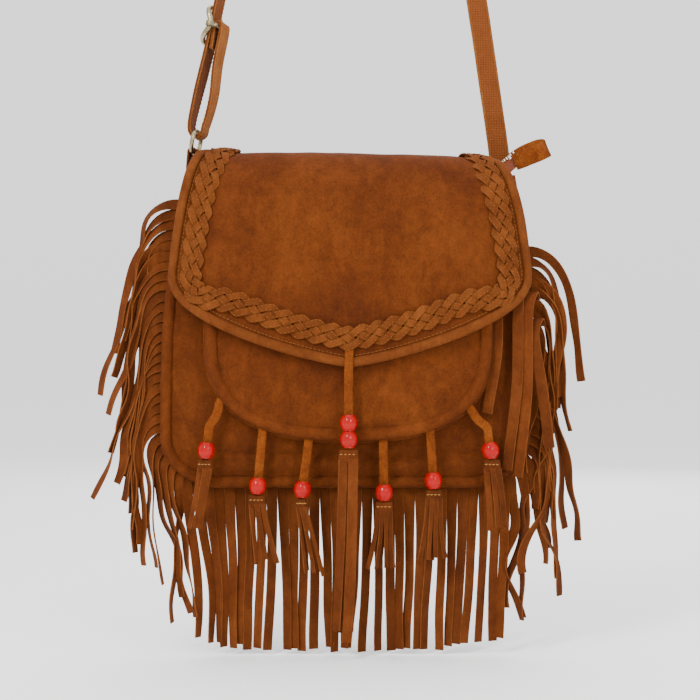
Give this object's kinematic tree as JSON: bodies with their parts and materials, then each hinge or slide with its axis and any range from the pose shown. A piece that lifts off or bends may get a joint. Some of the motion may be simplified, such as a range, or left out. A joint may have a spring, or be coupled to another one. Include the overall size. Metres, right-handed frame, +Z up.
{
  "type": "fringed suede shoulder bag",
  "caption": "Suede shoulder bag with a pointed flap edged in plaited suede, a rounded front pocket, hanging tassels with round beads, long fringe and an adjustable strap.",
  "frame": {"origin": "the underside of the shoulder strap at the point it hangs from", "axes": "+Z up along the hanging strap, the bag's front faces -Y, +X to the right seen from the front"},
  "size_m": [0.3622, 0.1055, 0.8792],
  "materials": {
    "suede": "napped suede, rust brown",
    "strap_suede": "napped suede, golden tan",
    "thong_suede": "rough split suede, orange tan",
    "lining": "woven lining, brown",
    "tape": "woven tape, reddish brown",
    "brass": "antique brass",
    "bead": "glossy red"
  },
  "bodies": {
    "bag": {"front_panel": "suede", "back_panel": "suede", "gusset": "suede", "front_piping": "suede", "back_piping": "suede", "lining": "lining", "zip_tape_front": "tape", "zip_tape_back": "tape", "zip_chain": "brass", "zip_end_tab": "suede", "flap_outer": "suede", "flap_lining": "lining", "flap_binding": "suede", "flap_braid": "suede", "flap_thong": "thong_suede", "flap_tassel": "suede", "pocket_panel": "suede", "pocket_gusset": "suede", "pocket_piping": "suede", "pocket_1_thong": "thong_suede", "pocket_2_thong": "thong_suede", "pocket_3_thong": "thong_suede", "pocket_4_thong": "thong_suede", "pocket_5_thong": "thong_suede", "pocket_6_thong": "thong_suede", "pocket_1_tassel": "suede", "pocket_2_tassel": "suede", "pocket_3_tassel": "suede", "pocket_4_tassel": "suede", "pocket_5_tassel": "suede", "pocket_6_tassel": "suede", "fringe_left": "suede", "fringe_bottom": "suede", "fringe_right": "suede", "strap": "strap_suede", "strap_end": "strap_suede", "ring_tab": "suede"},
    "ring": {"strap_ring": "brass"},
    "adjuster": {"strap_slider": "brass"},
    "zip_slider": {"zip_slider": "brass"},
    "zip_pull": {"zip_pull": "brass"},
    "flap_bead_lower": {"flap_bead_lower": "bead"},
    "flap_bead_upper": {"flap_bead_upper": "bead"},
    "bead_1": {"pocket_1_bead": "bead"},
    "bead_2": {"pocket_2_bead": "bead"},
    "bead_3": {"pocket_3_bead": "bead"},
    "bead_4": {"pocket_4_bead": "bead"},
    "bead_5": {"pocket_5_bead": "bead"},
    "bead_6": {"pocket_6_bead": "bead"}
  },
  "joints": [
    {"name": "ring_swing", "type": "hinge", "parent": "bag", "child": "ring", "pos_m": [-0.12068, -0.001, -0.49631], "axis": [0.1711, 0.9846, -0.0371], "range_deg": [-4, 3]},
    {"name": "strap_adjust", "type": "slide", "parent": "bag", "child": "adjuster", "axis": [0.2116, 0, 0.9774], "range_m": [0, 0.06], "deforming": ["strap_end"]},
    {"name": "zip_slide", "type": "slide", "parent": "bag", "child": "zip_slider", "axis": [1, 0, 0], "range_m": [0, 0.16]},
    {"name": "zip_pull_swing", "type": "hinge", "parent": "zip_slider", "child": "zip_pull", "pos_m": [-0.088, 0, -0.5078], "axis": [0, -1, 0], "range_deg": [0, 20]},
    {"name": "flap_bead_lower_slide", "type": "slide", "parent": "bag", "child": "flap_bead_lower", "axis": [0, 0, 1], "range_m": [0, 0.016]},
    {"name": "flap_bead_upper_slide", "type": "slide", "parent": "flap_bead_lower", "child": "flap_bead_upper", "axis": [0, 0, 1], "range_m": [0, 0.016]},
    {"name": "bead_1_slide", "type": "slide", "parent": "bag", "child": "bead_1", "axis": [0.1247, 0, 0.9922], "range_m": [0, 0.005]},
    {"name": "bead_2_slide", "type": "slide", "parent": "bag", "child": "bead_2", "axis": [0.0884, 0, 0.9961], "range_m": [0, 0.03]},
    {"name": "bead_3_slide", "type": "slide", "parent": "bag", "child": "bead_3", "axis": [0.13, 0, 0.9915], "range_m": [0, 0.025]},
    {"name": "bead_4_slide", "type": "slide", "parent": "bag", "child": "bead_4", "axis": [-0.0181, 0, 0.9998], "range_m": [0, 0.028]},
    {"name": "bead_5_slide", "type": "slide", "parent": "bag", "child": "bead_5", "axis": [-0.0641, 0, 0.9979], "range_m": [0, 0.025]},
    {"name": "bead_6_slide", "type": "slide", "parent": "bag", "child": "bead_6", "axis": [-0.1439, 0, 0.9896], "range_m": [0, 0.005]}
  ]
}
